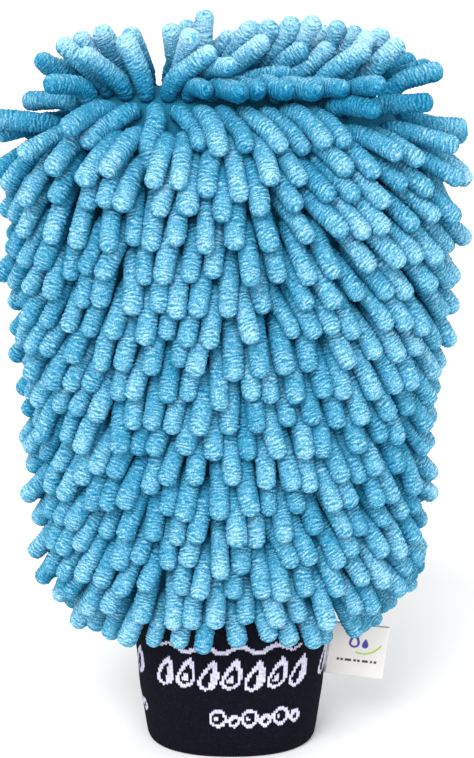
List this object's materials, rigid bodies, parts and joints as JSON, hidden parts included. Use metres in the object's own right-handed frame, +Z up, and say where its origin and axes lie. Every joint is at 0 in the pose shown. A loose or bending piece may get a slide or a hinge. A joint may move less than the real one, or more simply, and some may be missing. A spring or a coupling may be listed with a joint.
{
  "type": "wash mitt",
  "caption": "Chenille car wash mitt: a lined fabric bag covered in soft round tufts, standing on a folded elastic knit cuff, with a small ribbon label on its side.",
  "frame": {"origin": "middle of the mitt's footprint on the floor, at the cuff's rim", "axes": "+Z up from the cuff to the finger end; +Y from the front panel to the back panel; the label is on the +X side"},
  "size_m": [0.1922, 0.1114, 0.3107],
  "materials": {
    "chenille_pile": "soft fuzzy microfibre chenille",
    "backing_knit": "fine knit",
    "lining_fabric": "thin smooth knit",
    "cuff_knit": "dense elastic jacquard knit, black with a pale pattern",
    "seam_tape": "twill tape",
    "blue_thread": "twisted polyester thread",
    "white_thread": "twisted polyester thread",
    "label_satin": "satin ribbon"
  },
  "bodies": {
    "mitt": {"back_backing_panel": "backing_knit", "back_lining": "lining_fabric", "back_seam_allowance": "backing_knit", "back_tuft_row_01": "chenille_pile", "back_tuft_row_02": "chenille_pile", "back_tuft_row_03": "chenille_pile", "back_tuft_row_04": "chenille_pile", "back_tuft_row_05": "chenille_pile", "back_tuft_row_06": "chenille_pile", "back_tuft_row_07": "chenille_pile", "back_tuft_row_08": "chenille_pile", "back_tuft_row_09": "chenille_pile", "back_tuft_row_10": "chenille_pile", "back_tuft_row_11": "chenille_pile", "back_tuft_row_12": "chenille_pile", "back_tuft_row_13": "chenille_pile", "back_tuft_row_14": "chenille_pile", "back_tuft_row_15": "chenille_pile", "back_tuft_row_16": "chenille_pile", "back_tuft_row_17": "chenille_pile", "back_tuft_row_18": "chenille_pile", "back_tuft_row_19": "chenille_pile", "back_tuft_row_20": "chenille_pile", "cuff_seam_stitches": "blue_thread", "cuff_seam_tape": "seam_tape", "cuff_sleeve": "cuff_knit", "edge_seam_stitches": "blue_thread", "front_backing_panel": "backing_knit", "front_lining": "lining_fabric", "front_seam_allowance": "backing_knit", "front_tuft_row_01": "chenille_pile", "front_tuft_row_02": "chenille_pile", "front_tuft_row_03": "chenille_pile", "front_tuft_row_04": "chenille_pile", "front_tuft_row_05": "chenille_pile", "front_tuft_row_06": "chenille_pile", "front_tuft_row_07": "chenille_pile", "front_tuft_row_08": "chenille_pile", "front_tuft_row_09": "chenille_pile", "front_tuft_row_10": "chenille_pile", "front_tuft_row_11": "chenille_pile", "front_tuft_row_12": "chenille_pile", "front_tuft_row_13": "chenille_pile", "front_tuft_row_14": "chenille_pile", "front_tuft_row_15": "chenille_pile", "front_tuft_row_16": "chenille_pile", "front_tuft_row_17": "chenille_pile", "front_tuft_row_18": "chenille_pile", "front_tuft_row_19": "chenille_pile", "front_tuft_row_20": "chenille_pile", "label_sewn_end": "label_satin", "label_stitches": "white_thread"},
    "label": {"care_label": "label_satin"}
  },
  "joints": [
    {"name": "label_fold", "type": "hinge", "parent": "mitt", "child": "label", "pos_m": [0.04333, 0, 0.03872], "axis": [0.1132, 0, 0.9936], "range_deg": [-20, 20]}
  ]
}
